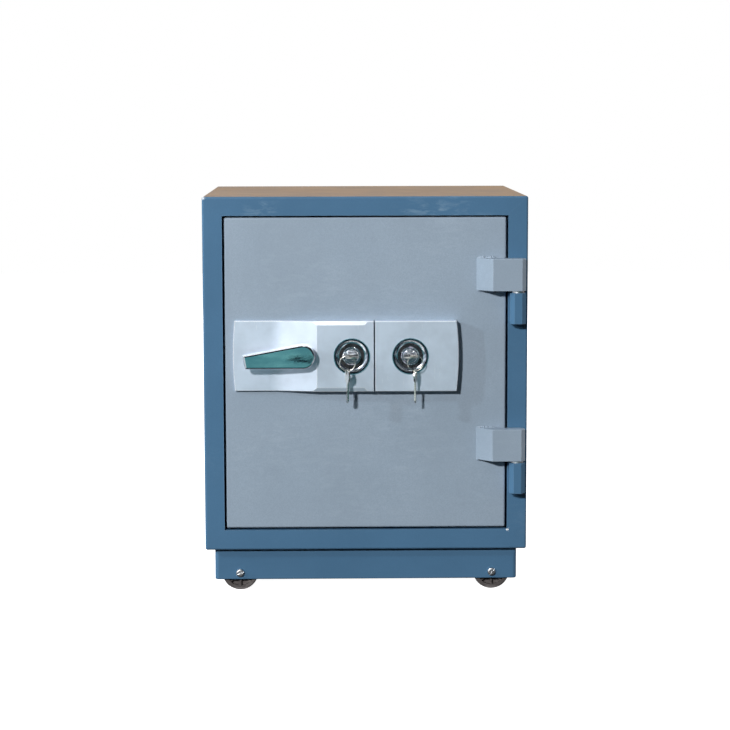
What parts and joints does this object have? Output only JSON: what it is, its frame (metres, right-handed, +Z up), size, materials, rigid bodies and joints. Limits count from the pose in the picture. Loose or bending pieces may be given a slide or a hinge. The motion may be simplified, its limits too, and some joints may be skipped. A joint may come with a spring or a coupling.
{
  "type": "safe",
  "caption": "Upright fire-resisting steel safe on wheels: a hinged door with a lever, key locks, sliding locking bolts and a shelved cavity.",
  "frame": {"origin": "on the floor, under the middle of the whole safe's bounding box", "axes": "+X to the right seen from the front, +Y from the front to the back, +Z up"},
  "size_m": [0.47, 0.465, 0.579],
  "materials": {
    "blue_paint": "satin",
    "grey_paint": "satin",
    "liner_paint": "matte",
    "satin_plate": "satin",
    "chrome": "polished",
    "dark_chrome": "gloss",
    "key_nickel": "gloss",
    "bare_steel": "satin",
    "zinc_plate": "satin",
    "brass": "satin",
    "black_plastic": "gloss",
    "wheel_plastic": "satin",
    "seal_rubber": "matte",
    "fire_fill": "matte"
  },
  "bodies": {
    "root": {"outer_casing": "blue_paint", "rear_panel": "blue_paint", "jamb_frame": "blue_paint", "inner_liner": "liner_paint", "strike_cups": "bare_steel", "dog_boxes": "bare_steel", "fire_fill": "fire_fill", "shelf": "liner_paint", "shelf_pegs": "zinc_plate", "plinth": "blue_paint", "front_wheel_rail": "blue_paint", "rear_wheel_rail": "blue_paint", "axle_bolts": "zinc_plate", "axle_nuts": "zinc_plate", "axle_spacers": "zinc_plate", "frame_hinges": "blue_paint", "hinge_pins": "bare_steel", "hinge_washers": "zinc_plate"},
    "door": {"door_front_panel": "grey_paint", "door_fill": "fire_fill", "door_back_plate": "grey_paint", "door_seal": "seal_rubber", "mechanism_cover": "grey_paint", "cover_screws": "zinc_plate", "door_hinge_upper": "grey_paint", "door_hinge_lower": "grey_paint", "handle_plate": "satin_plate", "lock_plate": "satin_plate", "plate_screws": "zinc_plate", "lock_dishes": "chrome", "cylinder_collars": "black_plastic", "lock_cylinders": "dark_chrome", "cylinder_nuts": "zinc_plate", "spindle_bushes": "brass", "bolt_guides": "bare_steel", "guide_screws": "zinc_plate", "guide_studs": "bare_steel", "hinge_side_dogs": "bare_steel"},
    "handle": {"lever_handle": "chrome", "handle_spindle": "bare_steel", "spindle_circlip": "bare_steel", "crank_arm": "zinc_plate"},
    "bolt_work": {"bolt_carriage": "zinc_plate", "locking_bolts": "bare_steel", "bolt_screws": "zinc_plate"},
    "plug_left": {"plug_left": "dark_chrome", "cam_left": "zinc_plate"},
    "key_left": {"key_left": "key_nickel"},
    "ring_left": {"key_ring_left": "key_nickel"},
    "spare_left": {"spare_key_left": "key_nickel"},
    "plug_right": {"plug_right": "dark_chrome", "cam_right": "zinc_plate"},
    "key_right": {"key_right": "key_nickel"},
    "ring_right": {"key_ring_right": "key_nickel"},
    "spare_right": {"spare_key_right": "key_nickel"},
    "wheel_front_left": {"wheel_front_left": "wheel_plastic"},
    "wheel_front_right": {"wheel_front_right": "wheel_plastic"},
    "wheel_rear_left": {"wheel_rear_left": "wheel_plastic"},
    "wheel_rear_right": {"wheel_rear_right": "wheel_plastic"}
  },
  "joints": [
    {"name": "door_swing", "type": "hinge", "parent": "root", "child": "door", "pos_m": [0.2194, -0.2059, 0.32235], "axis": [0, 0, 1], "range_deg": [0, 170]},
    {"name": "handle_turn", "type": "hinge", "parent": "door", "child": "handle", "pos_m": [-0.09045, -0.2135, 0.35085], "axis": [0, -1, 0], "range_deg": [0, 60]},
    {"name": "bolt_throw", "type": "slide", "parent": "door", "child": "bolt_work", "axis": [-1, 0, 0], "range_m": [0, 0.028]},
    {"name": "plug_left_turn", "type": "hinge", "parent": "door", "child": "plug_left", "pos_m": [-0.02005, -0.2055, 0.34935], "axis": [0, -1, 0], "range_deg": [0, 90]},
    {"name": "key_left_pull", "type": "slide", "parent": "plug_left", "child": "key_left", "axis": [0, -1, 0], "range_m": [0, 0.035]},
    {"name": "ring_left_swing", "type": "hinge", "parent": "key_left", "child": "ring_left", "pos_m": [-0.02659, -0.222, 0.34935], "axis": [-1, 0, 0], "range_deg": [-3, 30]},
    {"name": "spare_left_swing", "type": "hinge", "parent": "ring_left", "child": "spare_left", "pos_m": [-0.02659, -0.222, 0.32983], "axis": [-1, 0, 0], "range_deg": [-5, 50]},
    {"name": "plug_right_turn", "type": "hinge", "parent": "door", "child": "plug_right", "pos_m": [0.06445, -0.2055, 0.34935], "axis": [0, -1, 0], "range_deg": [0, 90]},
    {"name": "key_right_pull", "type": "slide", "parent": "plug_right", "child": "key_right", "axis": [0, -1, 0], "range_m": [0, 0.035]},
    {"name": "ring_right_swing", "type": "hinge", "parent": "key_right", "child": "ring_right", "pos_m": [0.07099, -0.222, 0.34935], "axis": [-1, 0, 0], "range_deg": [-3, 30]},
    {"name": "spare_right_swing", "type": "hinge", "parent": "ring_right", "child": "spare_right", "pos_m": [0.07099, -0.222, 0.32983], "axis": [-1, 0, 0], "range_deg": [-5, 50]},
    {"name": "wheel_front_left_roll", "type": "hinge", "parent": "root", "child": "wheel_front_left", "pos_m": [-0.185, -0.1805, 0.0265], "axis": [0, 1, 0], "continuous": true},
    {"name": "wheel_front_right_roll", "type": "hinge", "parent": "root", "child": "wheel_front_right", "pos_m": [0.185, -0.1805, 0.0265], "axis": [0, 1, 0], "continuous": true},
    {"name": "wheel_rear_left_roll", "type": "hinge", "parent": "root", "child": "wheel_rear_left", "pos_m": [-0.185, 0.2205, 0.0265], "axis": [0, 1, 0], "continuous": true},
    {"name": "wheel_rear_right_roll", "type": "hinge", "parent": "root", "child": "wheel_rear_right", "pos_m": [0.185, 0.2205, 0.0265], "axis": [0, 1, 0], "continuous": true}
  ],
  "couplings": [
    {"joint": "bolt_throw", "follows": "handle_turn", "m_per_rad": 0.026738}
  ]
}
